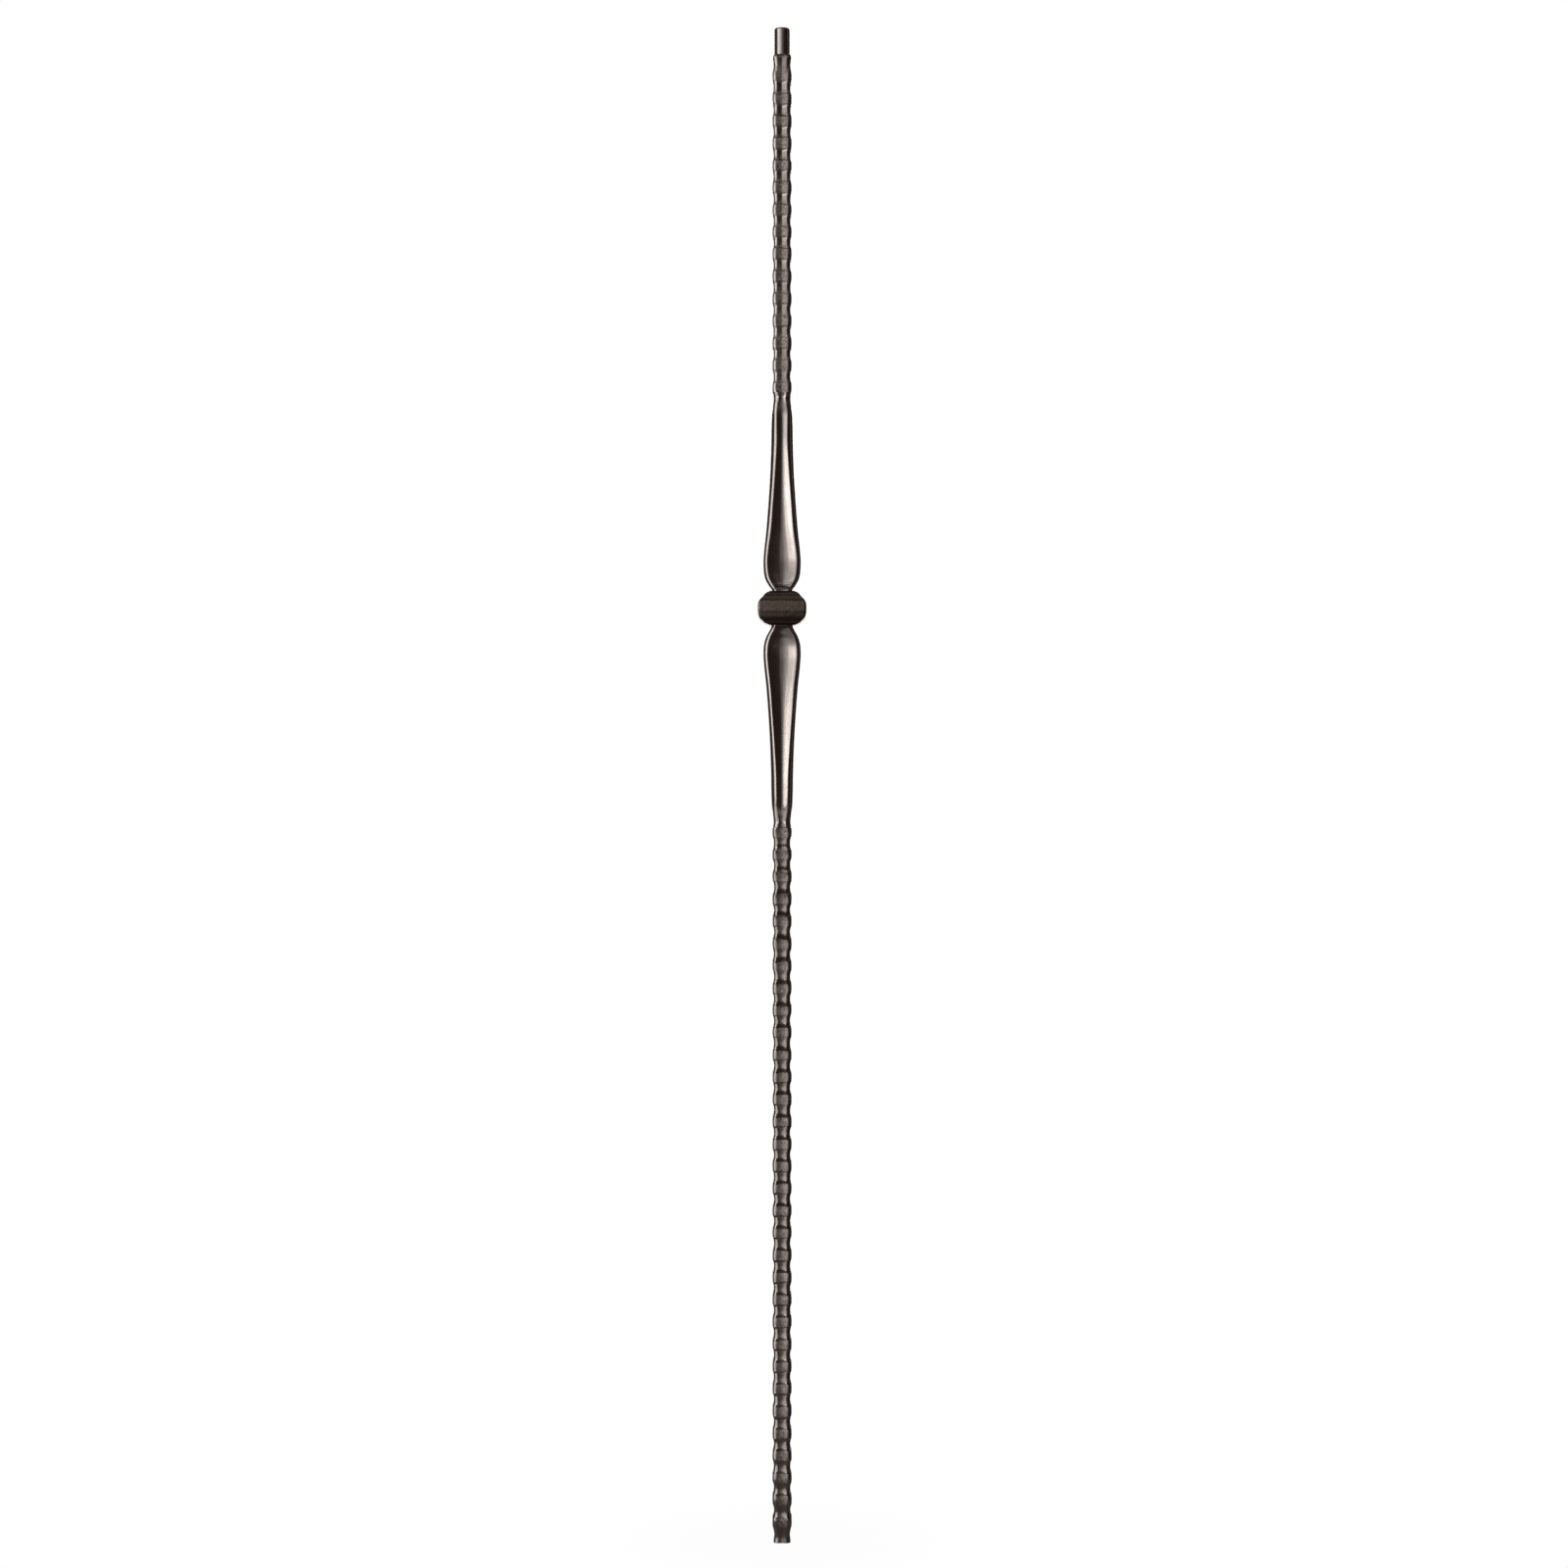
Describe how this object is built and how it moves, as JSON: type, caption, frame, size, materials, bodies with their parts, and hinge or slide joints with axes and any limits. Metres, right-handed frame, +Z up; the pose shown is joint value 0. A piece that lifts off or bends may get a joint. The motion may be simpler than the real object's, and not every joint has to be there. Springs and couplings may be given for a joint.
{
  "type": "stair baluster",
  "caption": "Hammered square iron stair baluster with dished spoons above and below a square cushion-shaped knuckle, a round pin on top and a plain cut foot.",
  "frame": {"origin": "Centre of the foot's cut end, where the bar stands on or in the tread", "axes": "+Z runs up the bar from the foot to the pin. -Y is the front, where the dished faces of the spoons lie open. X runs across the spoons' width."},
  "size_m": [0.0358, 0.0358, 1.1176],
  "materials": {
    "forged_iron": "satin brown-black lacquer on forged iron, smooth in the dents and spoons, grainy on the lands",
    "cast_knuckle": "matt brown-black lacquer on iron left rough as cast"
  },
  "bodies": {
    "root": {"baluster_bar": "forged_iron", "knuckle": "cast_knuckle"}
  },
  "joints": []
}
